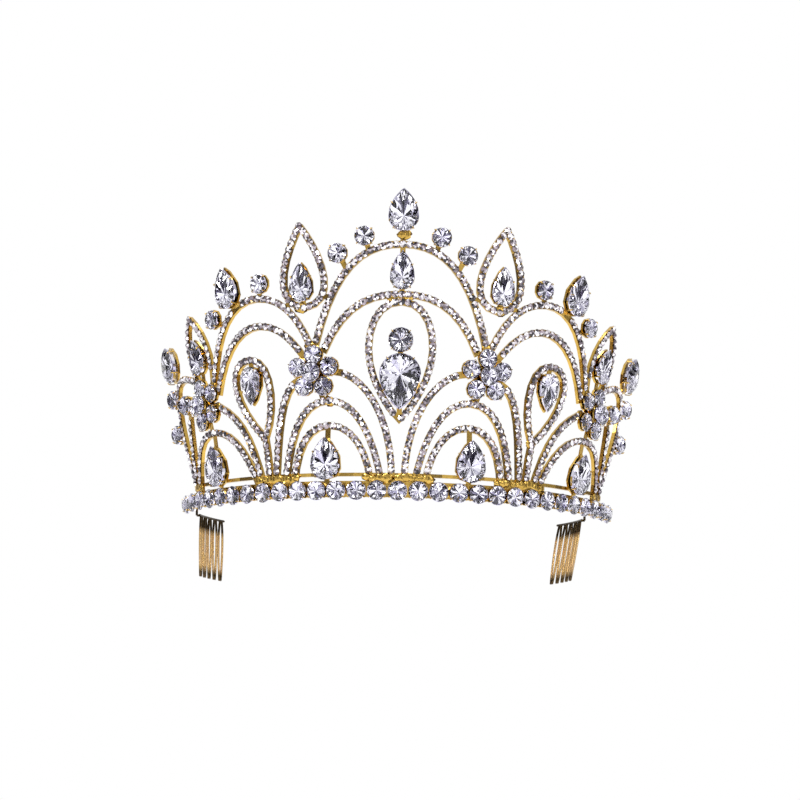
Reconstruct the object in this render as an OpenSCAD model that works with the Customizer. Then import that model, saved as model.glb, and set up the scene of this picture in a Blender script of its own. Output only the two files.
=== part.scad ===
// Pageant crown: an openwork band of gold-plated strands that carries flowers, cut pear and round stones,
// a row of round stones along its rim and a hair comb inside each end.
// The origin is the centre of the band's circle at the rim, +Z is up and the front faces -Y.

/* [Band] */
// Radius of the band's outer face at the rim
band_radius = 71; // [67:1:76]
// Angle from the middle of the front to each end of the rim
half_arc = 75; // [73:1:78]
// Height of the crown from the rim to the tip of the crest
crown_height = 98; // [94:1:106]
// Angle by which the band leans outwards
flare = 7; // [4:1:10]

/* [Strands] */
// Width of each strand, seen from the front
strand_width = 2.2; // [1.9:0.1:2.6]
// Thickness of each strand, front to back
strand_depth = 1.1; // [1:0.1:1.6]
// Width of the short soldered stems
stem_width = 1.7; // [1.3:0.1:2.2]
// Thickness of the stems and of the plates behind the stones
plate_depth = 0.8; // [0.7:0.1:1.2]
// Rim of each plate that shows round its stone
plate_rim = 0.1; // [0.05:0.05:0.4]

/* [Rim] */
// Height of the lower edge of the rail behind the rim stones
rail_low = 1.2; // [0.8:0.1:1.8]
// Height of the rail from its lower edge to its upper edge
rail_height = 5; // [4.4:0.1:5.6]
// Thickness of the rail
rail_depth = 0.9; // [0.7:0.1:1.2]
// Diameter of the rim stones
rim_stone_d = 6.2; // [5.6:0.1:6.8]
// Gap between one rim stone and the next
rim_stone_gap = 0.37; // [0.25:0.02:0.7]
// Diameter of the brace wire behind the feet of the strands
brace_d = 1.1; // [0.9:0.1:1.5]
// Clear height between the rail and the brace wire
brace_gap = 1.5; // [1:0.1:2]
// Angle from the middle of the front to each end of the brace wire
brace_arc = 62; // [58:1:65]

/* [Stones] */
// Gap between a stone and the metal under it
seat_gap = 0.15; // [0.12:0.01:0.25]
// Gap between a stone and a neighbour that it is set against
stone_gap = 0.2; // [0.15:0.05:0.4]
// Depth of a stone below its widest line, as a share of its width
pavilion_share = 0.15; // [0.13:0.01:0.2]
// Height of a stone above its widest line, as a share of its width
crown_share = 0.17; // [0.12:0.01:0.2]
// Width of a stone's table, as a share of the stone's width
table_share = 0.54; // [0.45:0.01:0.6]
// Width of the pear stone in the middle
centre_pear_w = 13.2; // [12.4:0.1:13.6]
// Length of the pear stone in the middle
centre_pear_l = 17.8; // [17:0.1:18.4]
// Width of the large pear stones
large_pear_w = 9.7; // [9:0.1:10.2]
// Length of the large pear stones
large_pear_l = 13.6; // [13:0.1:14.2]
// Width of the small pear stones
small_pear_w = 7.8; // [7.2:0.1:8.2]
// Length of the small pear stones
small_pear_l = 12.5; // [12:0.1:12.8]
// Diameter of the round stone in the middle
centre_round_d = 7.9; // [7:0.1:8.4]
// Diameter of the other round stones
round_d = 6.3; // [5.6:0.1:6.6]

/* [Flowers] */
// Diameter of the petal stones
petal_d = 6; // [5.4:0.1:6.2]
// Gap between one petal stone and the next
petal_gap = 0.55; // [0.35:0.05:0.7]
// Diameter of the raised stone in the middle of a flower
flower_stone_d = 6.2; // [5.4:0.1:6.6]
// Diameter of the post that raises the middle stone
flower_post_d = 3; // [2.4:0.1:3.4]

/* [Combs] */
// Number of teeth in each comb
comb_teeth = 5; // [4:1:6]
// Distance from one tooth to the next
comb_pitch = 3.8; // [3.5:0.1:4.2]
// Length of the teeth
comb_drop = 20; // [14:1:30]
// Thickness of the comb's wire
comb_wire = 0.8; // [0.6:0.1:1]
// Distance between the two legs of a looped tooth where they are widest apart
comb_loop_w = 2.3; // [2:0.1:2.5]
// Angle from the left end of the rim to where the left comb hangs
left_comb_end = 4; // [3:0.5:9]
// Angle from the right end of the rim to where the right comb hangs
right_comb_end = 13.5; // [5:0.5:15]
// Angle by which the comb turns inwards from straight back
comb_turn = 22; // [16:1:26]
// Distance by which the comb is set in from the wire that hangs it
comb_inset = 1.6; // [1.2:0.1:2.5]
// Gap between the comb and the rail that it is fixed to
comb_gap = 0.2; // [0.15:0.05:0.4]

/* [Hidden] */
gold = "#d6a032";
comb_gold = "#e3c588";
crystal = "#dfe3ef";

strand_set = 0.15;
rail_set = 0.3;
stem_sink = 0.2;
rail_top = rail_low + rail_height;
foot_sink = 0.7;
foot = rail_top - foot_sink;
brace_height = rail_top + brace_gap + brace_d / 2;
rim_stone_lift = 0.1;
rim_stone_top = rim_stone_lift + rim_stone_d;
ring_step = 5.2;
main_sides = 16;
small_sides = 12;
plate_sides = 10;
post_sides = 8;
wire_sides = 5;
sharp_edge = 0;
girdle_edge = 0.25;
point_sharpness = 0.8;

// Each row of sides holds [ending of the node's name, 1 for the right half and -1 for the left]
sides = [["_left", -1], ["_right", 1]];
middle = [["", 1]];

// Places on the band are [angle from the front, height above the rim]. The tables give both as hundredths
// of half_arc and crown_height, and a height of 0 there is a strand's foot, on the rail.
function at(angle_share, height_share) =
    [half_arc * angle_share / 100, height_share == 0 ? foot : crown_height * height_share / 100];
function face_radius(height) = band_radius + height * tan(flare);
function on_band(angle, height, depth) =
    let (r = face_radius(height) + depth)
    [r * sin(angle), -r * cos(angle), height];
function apart(a, b) = norm([(b[0] - a[0]) * PI / 180 * face_radius(a[1]), b[1] - a[1]]);

// Strands of the middle: the right half of each, from the top on the middle line
arch_routes = [
    [[0, 82], [12, 82], [20.8, 74.5], [27.7, 49.5]],
    [[0, 66], [10.7, 66], [18.4, 61.8], [25, 47.5]],
];
loop_route = [[0, 63.6], [6.4, 63.6], [10.1, 57.1], [10.1, 48.5], [10.1, 40.8], [6.1, 32.1], [0, 25.7]];
// Strands that each side has: [start, handle, handle, end], and where a strand goes on, two handles and an
// end again
side_routes = [
    [[5.5, 0], [8.3, 20.4], [14, 32], [23.3, 32], [32.7, 32], [37.3, 21.4], [39.7, 0]],
    [[9.1, 0], [10.4, 15.8], [15.3, 24.1], [23.3, 24.1], [30.9, 24.1], [35.2, 16.3], [36.4, 0]],
    [[29, 49], [33.3, 59.7], [39.1, 66.1], [48.7, 66.1], [58.7, 66.1], [66.7, 57.1], [70, 39.8]],
    [[30.9, 45.4], [35.3, 51.5], [40, 57.1], [48, 57.1], [56, 57.1], [63.3, 50.5], [68, 36.7]],
    [[50.9, 0], [55.3, 16.3], [62, 24.5], [72, 24.5], [81.3, 24.5], [83.7, 18.4], [84.5, 0]],
    [[76, 39.6], [88, 45.9], [98.9, 46.4], [99.5, 38.8], [100.7, 27.6], [89.3, 17.3], [86.9, 0]],
    [[52, 46.5], [44, 46.5], [42, 30.6], [47.2, 20.9], [46.4, 16.3], [46.1, 11.2], [46, 0]],
    [[52, 46.5], [62, 46.5], [62, 33.7], [47.2, 20.9]],
    [[32, 88.4], [26.6, 81.6], [18, 63.6], [31.2, 62]],
    [[32, 88.4], [36, 81.6], [43.6, 64.4], [31.2, 62]],
    [[82.7, 63.3], [86.7, 57.7], [85.3, 49], [79.1, 41.3]],
    [[82.7, 63.3], [75.3, 58.7], [70, 51], [70.7, 39.8]],
    [[22, 41.4], [11.3, 41], [1.9, 26], [2.1, 0]],
    [[32.5, 39.6], [41.3, 36.2], [41.7, 20.4], [43.6, 0]],
    [[68.7, 33], [56.7, 28.1], [53.1, 20.4], [48.8, 0]],
    [[85.9, 0], [87.3, 14.3], [88.7, 22.4], [88.7, 31.6]],
];

// Sizes of the stones as [width, length]
centre_pear = [centre_pear_w, centre_pear_l];
large_pear = [large_pear_w, large_pear_l];
small_pear = [small_pear_w, small_pear_l];
centre_round = [centre_round_d, centre_round_d];
plain_round = [round_d, round_d];
rim_round = [rim_stone_d, rim_stone_d];
petal_round = [petal_d, petal_d];
flower_round = [flower_stone_d, flower_stone_d];

// Heights that follow from the sizes of the stones
crest_high = [0, crown_height - plate_rim - large_pear_l + large_pear_w / 2];
centre_low = at(0, 40.4);
centre_high = centre_low + [0, centre_pear_w / 2 + stone_gap + centre_round_d / 2];
function over_rim(angle_share) = [at(angle_share, 0)[0], rim_stone_top + stone_gap + large_pear_w / 2];

// The main stones: [name, copies, size, place, lean, turn, place where the stem starts]
// The lean tips the point outwards and the turn faces the stone further round the band.
stones = [
    ["crest_pear", middle, large_pear, crest_high, 0, 0, at(0, 82)],
    ["hanging_pear", middle, small_pear, at(0, 71.3), 0, 0, at(0, 82)],
    ["centre_round", middle, centre_round, centre_high, 0, 0, centre_low],
    ["centre_pear", middle, centre_pear, centre_low, 180, 0, at(0, 25.7)],
    ["inner_round", sides, plain_round, at(11.5, 84.5), 0, 0, at(10.1, 79.4)],
    ["outer_round", sides, plain_round, at(19.7, 79.1), 0, 0, at(17.1, 74)],
    ["leaf_pear", sides, small_pear, at(31.5, 67.9), 0, 0, at(31.2, 62)],
    ["side_round", sides, plain_round, at(46.3, 70.7), 0, 0, at(47.3, 66.1)],
    ["side_pear", sides, large_pear, at(59.5, 68.8), 9, 0, at(57.5, 63.5)],
    ["shoulder_round", sides, plain_round, at(67.3, 61.2), 0, 0, at(62.5, 58.5)],
    ["small_leaf_pear", sides, small_pear, at(76.7, 48), 22, 0, at(76, 40)],
    ["loop_pear", sides, small_pear, at(51.1, 40.3), 180, 0, at(52, 46.5)],
    ["lower_pear", sides, large_pear, over_rim(24.3), 0, 0, at(23.5, 24.1)],
    ["low_side_pear", sides, large_pear, over_rim(70.5), 9, 0, at(72, 24.5)],
    ["end_pear", sides, large_pear, at(102, 49.5), 29, -4, at(98.5, 42)],
    ["end_round_upper", sides, plain_round, at(104.4, 39.3), 0, -15, at(99.5, 38.8)],
    ["end_round_lower", sides, plain_round, at(101.7, 27.1), 0, -15, at(97, 26.5)],
    ["end_round_inner", sides, plain_round, at(89.6, 35.5), 0, -12, at(88.7, 31.6)],
];
// The flowers: [name, place, turn of the petals outwards, place where the link starts]
flowers = [
    ["flower_inner", at(28, 41.2), 0, at(25, 31.9)],
    ["flower_outer", at(75.3, 34.1), 90, at(73, 24.5)],
];
// Other short links: [copies, start, end]
links = [
    [middle, at(0, 63.6), at(0, 71.3)],
    [sides, at(22.5, 65), at(25, 65.8)],
    [sides, at(35.5, 64), at(37.8, 62.4)],
    [sides, at(84, 34.5), at(89.6, 35.5)],
    [sides, at(70, 0), over_rim(70.5)],
    [sides, at(24.3, 0), over_rim(24.3)],
];
petals = 5;
petal_ring = (petal_d + petal_gap) / (2 * sin(180 / petals));
petal_top = seat_gap + petal_d * (pavilion_share + crown_share);
disc_depth = petal_d * crown_share / 2;
disc_rim = 0.2;
flower_lift = petal_top + seat_gap;

// The combs: [copy, angle from the middle of the front, lean of the teeth inwards]
combs = [[sides[0], half_arc - left_comb_end, 1], [sides[1], half_arc - right_comb_end, 9]];
comb_top = 4;
comb_leg_w = 1.1;
comb_tip_w = 0.9;
comb_curl = 14;
bar_height = 1;

// Points along a route, in rings about ring_step apart
function bezier(p, t) =
    pow(1 - t, 3) * p[0] + 3 * pow(1 - t, 2) * t * p[1] + 3 * (1 - t) * t * t * p[2] + pow(t, 3) * p[3];
function piece(p, first) =
    let (steps = ceil((apart(p[0], p[1]) + apart(p[1], p[2]) + apart(p[2], p[3])) / ring_step))
    [for (i = [first:steps]) bezier(p, i / steps)];
function route(row) =
    [for (k = [0:3:len(row) - 4]) each piece([for (j = [k:k + 3]) at(row[j][0], row[j][1])], k == 0 ? 0 : 1)];
function mirrored(path) = [for (p = path) [-p[0], p[1]]];
function backwards(path, last, first) = [for (i = [last:-1:first]) path[i]];

// Rings of a section of [across, depth] places, swept along a path on the band
function way_at(path, i, closed) =
    let (n = len(path))
    let (a = closed ? (i + n - 1) % n : max(i - 1, 0))
    let (b = closed ? (i + 1) % n : min(i + 1, n - 1))
    let (along = [(path[b][0] - path[a][0]) * PI / 180 * face_radius(path[i][1]), path[b][1] - path[a][1]])
    along / norm(along);
function band_point(place, way, s) =
    on_band(place[0] - s[0] * way[1] * 180 / PI / face_radius(place[1]), place[1] + s[0] * way[0], s[1]);
function band_rings(path, section, closed = false) =
    [for (i = [0:len(path) - 1])
        let (way = way_at(path, i, closed))
        [for (s = section) band_point(path[i], way, s)]];

// A solid through rings of points, with flat ends or closed into a loop
module skin(rings, closed = false) {
    n = len(rings[0]);
    count = len(rings);
    walls = [for (i = [0:count - (closed ? 1 : 2)], k = [0:n - 1])
        let (a = i * n, b = (i + 1) % count * n, next = (k + 1) % n)
        [a + next, a + k, b + k, b + next]];
    ends = [[for (k = [0:n - 1]) k], [for (k = [n - 1:-1:0]) (count - 1) * n + k]];
    polyhedron([for (ring = rings) each ring], concat(walls, closed ? [] : ends), convexity = 6);
}

function strip(width, back, front) =
    [[-width / 2, back], [width / 2, back], [width / 2, front], [-width / 2, front]];
function wire(d) =
    [for (i = [0:wire_sides - 1])
        let (a = i * 360 / wire_sides)
        [-d / 2 * cos(a), -d / 2 * sin(a)]];

module strand(path, closed = false) {
    skin(band_rings(path, strip(strand_width, -strand_set - strand_depth, -strand_set), closed), closed);
}

module stem(from, to) {
    skin(band_rings([from, to], strip(stem_width, stem_sink - plate_depth, -stem_sink)));
}

// Outline of a stone, about the middle of its round end and with its point up
function outline(size, sides_n) =
    let (r = size[0] / 2, reach = size[1] - r, sharpness = size[1] > size[0] ? point_sharpness : 0)
    [for (i = [0:sides_n - 1])
        let (a = 360 * i / sides_n)
        [r * sin(a) * (cos(a) > 0 ? pow(abs(sin(a)), sharpness) : 1), cos(a) * (cos(a) > 0 ? reach : r)]];
function lifted(points, height) = [for (p = points) [p[0], p[1], height]];

// A cut stone: a pointed back, a girdle, a crown of three facets to each side of the table, and the table
module cut_stone(size, n, edge) {
    m = n / 2;
    girdle = seat_gap + pavilion_share * size[0];
    top = girdle + edge + crown_share * size[0];
    widest = outline(size, n);
    low = 1;
    high = edge > 0 ? low + n : low;
    table = high + n;
    points = concat(
        [[0, 0, seat_gap]],
        lifted(widest, girdle),
        edge > 0 ? lifted(widest, girdle + edge) : [],
        lifted(outline(table_share * size, m), top));
    back = [for (i = [0:n - 1]) [0, low + (i + 1) % n, low + i]];
    wall = [for (i = [0:n - 1]) [low + i, low + (i + 1) % n, high + (i + 1) % n, high + i]];
    crown = [for (j = [0:m - 1])
        let (a = high + 2 * j, b = a + 1, c = high + (2 * j + 2) % n, t = table + j, u = table + (j + 1) % m)
        each [[t, a, b], [t, b, u], [u, b, c]]];
    face = [for (j = [0:m - 1]) table + j];
    polyhedron(points, concat(back, edge > 0 ? wall : [], crown, [face]), convexity = 2);
}

// Brings what is drawn flat, with +Z outwards and +Y up, to a place on the band
module seated(place, side, lean = 0, turn = 0) {
    translate(on_band(side * place[0], place[1], 0))
        rotate([90 + flare, 0, side * (place[0] + turn)])
            rotate([0, 0, -side * lean])
                children();
}

module stone_plate(size) {
    translate([0, 0, -plate_depth])
        linear_extrude(height = plate_depth)
            polygon(outline([size[0] + 2 * plate_rim, size[1] + 2 * plate_rim], plate_sides));
}

module stone(row, side) {
    color(crystal)
        seated(row[3], side, row[4], row[5])
            cut_stone(row[2], main_sides, girdle_edge);
}

module stone_setting(row, side) {
    seated(row[3], side, row[4], row[5])
        stone_plate(row[2]);
    stem([side * row[6][0], row[6][1]], [side * row[3][0], row[3][1]]);
}

module on_petals(row, side) {
    for (i = [0:petals - 1]) {
        rotate([0, 0, -side * (row[2] + i * 360 / petals)])
            translate([0, petal_ring, 0])
                children();
    }
}

// The five petal stones of a flower and the raised stone in its middle
module flower(row, side) {
    color(crystal)
        seated(row[1], side) {
            on_petals(row, side)
                cut_stone(petal_round, small_sides, sharp_edge);
            translate([0, 0, flower_lift])
                cut_stone(flower_round, small_sides, sharp_edge);
        }
}

// The metal that carries a flower: a plate and an arm for each petal, and a post with a disc on it
module flower_back(row, side) {
    seated(row[1], side) {
        translate([0, 0, -plate_depth])
            linear_extrude(height = plate_depth)
                on_petals(row, side)
                    hull() {
                        circle(d = petal_d + 2 * plate_rim, $fn = plate_sides);
                        translate([0, -petal_ring])
                            circle(d = flower_post_d, $fn = plate_sides);
                    }
        translate([0, 0, -plate_depth])
            cylinder(h = plate_depth + flower_lift, d = flower_post_d, $fn = post_sides);
        translate([0, 0, flower_lift - disc_depth])
            cylinder(h = disc_depth, d = flower_stone_d - 2 * disc_rim, $fn = plate_sides);
    }
    stem([side * row[3][0], row[3][1]], [side * row[1][0], row[1][1]]);
}

module strands() {
    for (row = arch_routes) {
        half = route(row);
        strand(concat(backwards(mirrored(half), len(half) - 1, 1), half));
    }
    loop_half = route(loop_route);
    strand(concat(loop_half, backwards(mirrored(loop_half), len(loop_half) - 2, 1)), closed = true);
    for (row = side_routes) {
        path = route(row);
        strand(path);
        strand(mirrored(path));
    }
}

// The rail behind the rim stones, and the brace wire behind the feet of the strands
module rim_rail() {
    rail_rings = 30;
    brace_rings = 22;
    rail_path = [for (i = [0:rail_rings]) [half_arc * (2 * i / rail_rings - 1), rail_low + rail_height / 2]];
    brace_path = [for (i = [0:brace_rings]) [brace_arc * (2 * i / brace_rings - 1), brace_height]];
    skin(band_rings(rail_path, strip(rail_height, -rail_set - rail_depth, -rail_set)));
    skin(band_rings(brace_path, strip(brace_d, -strand_depth - brace_d / 2, -strand_depth + brace_d / 2)));
}

module frame() {
    color(gold) {
        rim_rail();
        strands();
        for (row = stones, side = row[1]) {
            stone_setting(row, side[1]);
        }
        for (row = flowers, side = sides) {
            flower_back(row, side[1]);
        }
        for (row = links, side = row[0]) {
            stem([side[1] * row[1][0], row[1][1]], [side[1] * row[2][0], row[2][1]]);
        }
    }
}

module rim_row() {
    height = rim_stone_lift + rim_stone_d / 2;
    girdle_radius = face_radius(height) + seat_gap + pavilion_share * rim_stone_d;
    pitch = (rim_stone_d + rim_stone_gap) / girdle_radius * 180 / PI;
    each_side = floor(half_arc / pitch);
    color(crystal)
        for (i = [-each_side:each_side]) {
            seated([i * pitch, height], 1)
                cut_stone(rim_round, small_sides, sharp_edge);
        }
}

// Rings of a wire along a path of [distance, height] places in an upright plane
function flat_rings(path, d) =
    [for (i = [0:len(path) - 1])
        let (a = path[max(i - 1, 0)], b = path[min(i + 1, len(path) - 1)], way = (b - a) / norm(b - a))
        [for (s = wire(d)) [path[i][0] - s[0] * way[1], -s[1], path[i][1] + s[0] * way[0]]]];

// One looped tooth, hanging from the origin
module tooth() {
    steps = 3;
    leg = [[comb_leg_w / 2, 0], [comb_loop_w * 0.8, -comb_drop * 0.3],
        [comb_loop_w * 0.4, -comb_drop * 0.8], [comb_tip_w / 2, -comb_drop]];
    down = [for (i = [0:steps]) bezier(leg, i / steps)];
    skin(flat_rings(concat(down, [for (i = [steps:-1:0]) [-down[i][0], down[i][1]]]), comb_wire));
}

// Places along the comb's bar, which curves inwards
function heading(i) = comb_turn + comb_curl * (i / (comb_teeth - 1) - 0.5);
function bar_place(i) =
    i == 0 ? [0, 0, 0] : bar_place(i - 1) + comb_pitch * [-sin(heading(i - 0.5)), cos(heading(i - 0.5)), 0];

module comb_bar_and_teeth(lean) {
    for (i = [0:comb_teeth - 1]) {
        translate(bar_place(i))
            rotate([0, 0, 90 + heading(i)]) {
                translate([0, 0, -bar_height / 2])
                    rotate([lean, 0, 0])
                        tooth();
                translate([-comb_pitch / 2 - comb_wire / 2, -comb_wire / 2, -bar_height])
                    cube([comb_pitch + comb_wire, comb_wire, bar_height]);
            }
    }
}

module comb(side, angle, lean) {
    hang_r = face_radius(rail_low) - rail_set - rail_depth - comb_gap - comb_wire / 2;
    color(comb_gold)
        mirror([side < 0 ? 1 : 0, 0, 0])
            rotate([0, 0, angle])
                translate([0, -hang_r, 0]) {
                    translate([-comb_wire / 2, -comb_wire / 2, -bar_height])
                        cube([comb_wire, comb_wire, comb_top + bar_height]);
                    translate([-comb_wire / 2, -comb_wire / 2, -bar_height])
                        cube([comb_wire, comb_inset + comb_wire, bar_height]);
                    translate([0, comb_inset, 0])
                        rotate([0, 0, -angle])
                            comb_bar_and_teeth(lean);
                }
}

frame();
rim_row();
for (row = combs) {
    comb(row[0][1], row[1], row[2]);
}
for (row = stones, side = row[1]) {
    stone(row, side[1]);
}
for (row = flowers, side = sides) {
    flower(row, side[1]);
}
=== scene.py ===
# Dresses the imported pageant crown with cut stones, fine stones, settings, combs and finishes, and sets up
# the studio that it is shown in. Sizes are in millimetres up to the point where a mesh is made.

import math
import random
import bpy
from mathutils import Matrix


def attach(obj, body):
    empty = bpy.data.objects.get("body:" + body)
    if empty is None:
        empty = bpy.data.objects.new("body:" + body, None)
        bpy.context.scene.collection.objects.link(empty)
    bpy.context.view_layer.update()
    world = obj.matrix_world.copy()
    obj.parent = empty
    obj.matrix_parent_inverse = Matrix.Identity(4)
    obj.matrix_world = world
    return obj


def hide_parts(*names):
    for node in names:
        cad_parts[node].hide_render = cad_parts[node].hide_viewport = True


bl_info = {
    "name": "Pageant Crown",
    "version": (1, 0, 0),
    "blender": (4, 5, 0),
    "location": "3D View > Sidebar > Crown",
    "description": "Dresses the frame of a pageant crown with its stones, settings, combs and finishes",
    "category": "Object",
}

import bmesh
import bpy
from mathutils import Matrix, Vector

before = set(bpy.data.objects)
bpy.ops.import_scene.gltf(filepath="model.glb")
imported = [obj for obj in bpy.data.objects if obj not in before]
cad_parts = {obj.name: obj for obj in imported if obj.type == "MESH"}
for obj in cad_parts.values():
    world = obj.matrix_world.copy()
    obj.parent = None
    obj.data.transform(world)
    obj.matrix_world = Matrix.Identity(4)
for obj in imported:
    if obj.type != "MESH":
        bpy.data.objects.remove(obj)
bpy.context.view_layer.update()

MM = 0.001
BODY = "root"

# Sizes that the frame was made to
BAND_RADIUS = 71.0
HALF_ARC = 75.0
CROWN_HEIGHT = 98.0
FLARE = 7.0
STRAND_SET = 0.15
PLATE_RIM = 0.1
SEAT_GAP = 0.15
STONE_GAP = 0.2
RAIL_LOW = 1.2
RAIL_HEIGHT = 5.0
RAIL_SET = 0.3
RAIL_DEPTH = 0.9
FOOT_SINK = 0.7
FOOT = RAIL_LOW + RAIL_HEIGHT - FOOT_SINK
RIM_STONE_D = 6.2
RIM_STONE_LIFT = 0.1
RIM_STONE_GAP = 0.37
RIM_STONE_TOP = RIM_STONE_LIFT + RIM_STONE_D
PAVILION_SHARE = 0.15
CROWN_SHARE = 0.17
TABLE_SHARE = 0.54
GIRDLE_EDGE = 0.25
POINT_SHARPNESS = 0.8

# Sizes of the stones as (width, length)
CENTRE_PEAR = (13.2, 17.8)
LARGE_PEAR = (9.7, 13.6)
SMALL_PEAR = (7.8, 12.5)
CENTRE_ROUND = (7.9, 7.9)
PLAIN_ROUND = (6.3, 6.3)
RIM_ROUND = (RIM_STONE_D, RIM_STONE_D)
PETAL_ROUND = (6.0, 6.0)
FLOWER_ROUND = (6.2, 6.2)

PETALS = 5
PETAL_GAP = 0.55
PETAL_RING = (PETAL_ROUND[0] + PETAL_GAP) / (2 * math.sin(math.pi / PETALS))
FLOWER_LIFT = SEAT_GAP + PETAL_ROUND[0] * (PAVILION_SHARE + CROWN_SHARE) + SEAT_GAP

# Sizes of the combs
COMB_TEETH = 5
COMB_PITCH = 3.8
COMB_DROP = 20.0
COMB_WIRE = 0.8
COMB_LOOP_W = 2.3
LEFT_COMB_END = 4.0
RIGHT_COMB_END = 13.5
COMB_TURN = 22.0
COMB_INSET = 1.6
COMB_GAP = 0.2
COMB_TOP = 4.0
COMB_TIPS = -20.6
COMB_LEG_W = 1.1
COMB_TIP_W = 0.9
COMB_CURL = 14.0
BAR_HEIGHT = 1.0
# The combs: node's name, side, angle from the middle of the front, and lean of the teeth inwards
COMBS = [
    ("comb_left", -1, HALF_ARC - LEFT_COMB_END, 1.0),
    ("comb_right", 1, HALF_ARC - RIGHT_COMB_END, 9.0),
]
# Painted shade and reflection on the comb's wire: share of the height from its tips to its top, and the tint
# there
COMB_PAINTED_SHADE = [
    (0.0, "#55504B"), (0.07, "#595959"), (0.17, "#FFFFFF"), (0.58, "#FFFFFF"), (0.67, "#454545"),
    (0.86, "#454545"), (1.0, "#FFFFFF"),
]

# Routes of the strands, in hundredths of HALF_ARC and CROWN_HEIGHT, as Bezier pieces
ARCH_ROUTES = [
    [(0, 82), (12, 82), (20.8, 74.5), (27.7, 49.5)],
    [(0, 66), (10.7, 66), (18.4, 61.8), (25, 47.5)],
]
LOOP_ROUTE = [(0, 63.6), (6.4, 63.6), (10.1, 57.1), (10.1, 48.5), (10.1, 40.8), (6.1, 32.1), (0, 25.7)]
SIDE_ROUTES = [
    [(5.5, 0), (8.3, 20.4), (14, 32), (23.3, 32), (32.7, 32), (37.3, 21.4), (39.7, 0)],
    [(9.1, 0), (10.4, 15.8), (15.3, 24.1), (23.3, 24.1), (30.9, 24.1), (35.2, 16.3), (36.4, 0)],
    [(29, 49), (33.3, 59.7), (39.1, 66.1), (48.7, 66.1), (58.7, 66.1), (66.7, 57.1), (70, 39.8)],
    [(30.9, 45.4), (35.3, 51.5), (40, 57.1), (48, 57.1), (56, 57.1), (63.3, 50.5), (68, 36.7)],
    [(50.9, 0), (55.3, 16.3), (62, 24.5), (72, 24.5), (81.3, 24.5), (83.7, 18.4), (84.5, 0)],
    [(76, 39.6), (88, 45.9), (98.9, 46.4), (99.5, 38.8), (100.7, 27.6), (89.3, 17.3), (86.9, 0)],
    [(52, 46.5), (44, 46.5), (42, 30.6), (47.2, 20.9), (46.4, 16.3), (46.1, 11.2), (46, 0)],
    [(52, 46.5), (62, 46.5), (62, 33.7), (47.2, 20.9)],
    [(32, 88.4), (26.6, 81.6), (18, 63.6), (31.2, 62)],
    [(32, 88.4), (36, 81.6), (43.6, 64.4), (31.2, 62)],
    [(82.7, 63.3), (86.7, 57.7), (85.3, 49), (79.1, 41.3)],
    [(82.7, 63.3), (75.3, 58.7), (70, 51), (70.7, 39.8)],
    [(22, 41.4), (11.3, 41), (1.9, 26), (2.1, 0)],
    [(32.5, 39.6), (41.3, 36.2), (41.7, 20.4), (43.6, 0)],
    [(68.7, 33), (56.7, 28.1), (53.1, 20.4), (48.8, 0)],
    [(85.9, 0), (87.3, 14.3), (88.7, 22.4), (88.7, 31.6)],
]

SIDES = [("_left", -1), ("_right", 1)]
MIDDLE = [("", 1)]


def sind(angle):
    return math.sin(math.radians(angle))


def cosd(angle):
    return math.cos(math.radians(angle))


def at(angle_share, height_share):
    height = FOOT if height_share == 0 else CROWN_HEIGHT * height_share / 100
    return (HALF_ARC * angle_share / 100, height)


def face_radius(height):
    return BAND_RADIUS + height * math.tan(math.radians(FLARE))


def on_band(angle, height, depth):
    r = face_radius(height) + depth
    return Vector((r * sind(angle), -r * cosd(angle), height))


def apart(a, b):
    return math.hypot(math.radians(b[0] - a[0]) * face_radius(a[1]), b[1] - a[1])


def outward(angle):
    return Vector((sind(angle) * cosd(FLARE), -cosd(angle) * cosd(FLARE), -sind(FLARE)))


CREST_HIGH = (0.0, CROWN_HEIGHT - PLATE_RIM - LARGE_PEAR[1] + LARGE_PEAR[0] / 2)
CENTRE_LOW = at(0, 40.4)
CENTRE_HIGH = (0.0, CENTRE_LOW[1] + CENTRE_PEAR[0] / 2 + STONE_GAP + CENTRE_ROUND[0] / 2)


def over_rim(angle_share):
    return (at(angle_share, 0)[0], RIM_STONE_TOP + STONE_GAP + LARGE_PEAR[0] / 2)


# The main stones: node's name, copies, size, place, lean and turn
STONES = [
    ("crest_pear", MIDDLE, LARGE_PEAR, CREST_HIGH, 0, 0),
    ("hanging_pear", MIDDLE, SMALL_PEAR, at(0, 71.3), 0, 0),
    ("centre_round", MIDDLE, CENTRE_ROUND, CENTRE_HIGH, 0, 0),
    ("centre_pear", MIDDLE, CENTRE_PEAR, CENTRE_LOW, 180, 0),
    ("inner_round", SIDES, PLAIN_ROUND, at(11.5, 84.5), 0, 0),
    ("outer_round", SIDES, PLAIN_ROUND, at(19.7, 79.1), 0, 0),
    ("leaf_pear", SIDES, SMALL_PEAR, at(31.5, 67.9), 0, 0),
    ("side_round", SIDES, PLAIN_ROUND, at(46.3, 70.7), 0, 0),
    ("side_pear", SIDES, LARGE_PEAR, at(59.5, 68.8), 9, 0),
    ("shoulder_round", SIDES, PLAIN_ROUND, at(67.3, 61.2), 0, 0),
    ("small_leaf_pear", SIDES, SMALL_PEAR, at(76.7, 48), 22, 0),
    ("loop_pear", SIDES, SMALL_PEAR, at(51.1, 40.3), 180, 0),
    ("lower_pear", SIDES, LARGE_PEAR, over_rim(24.3), 0, 0),
    ("low_side_pear", SIDES, LARGE_PEAR, over_rim(70.5), 9, 0),
    ("end_pear", SIDES, LARGE_PEAR, at(102, 49.5), 29, -4),
    ("end_round_upper", SIDES, PLAIN_ROUND, at(104.4, 39.3), 0, -15),
    ("end_round_lower", SIDES, PLAIN_ROUND, at(101.7, 27.1), 0, -15),
    ("end_round_inner", SIDES, PLAIN_ROUND, at(89.6, 35.5), 0, -12),
]
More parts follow.
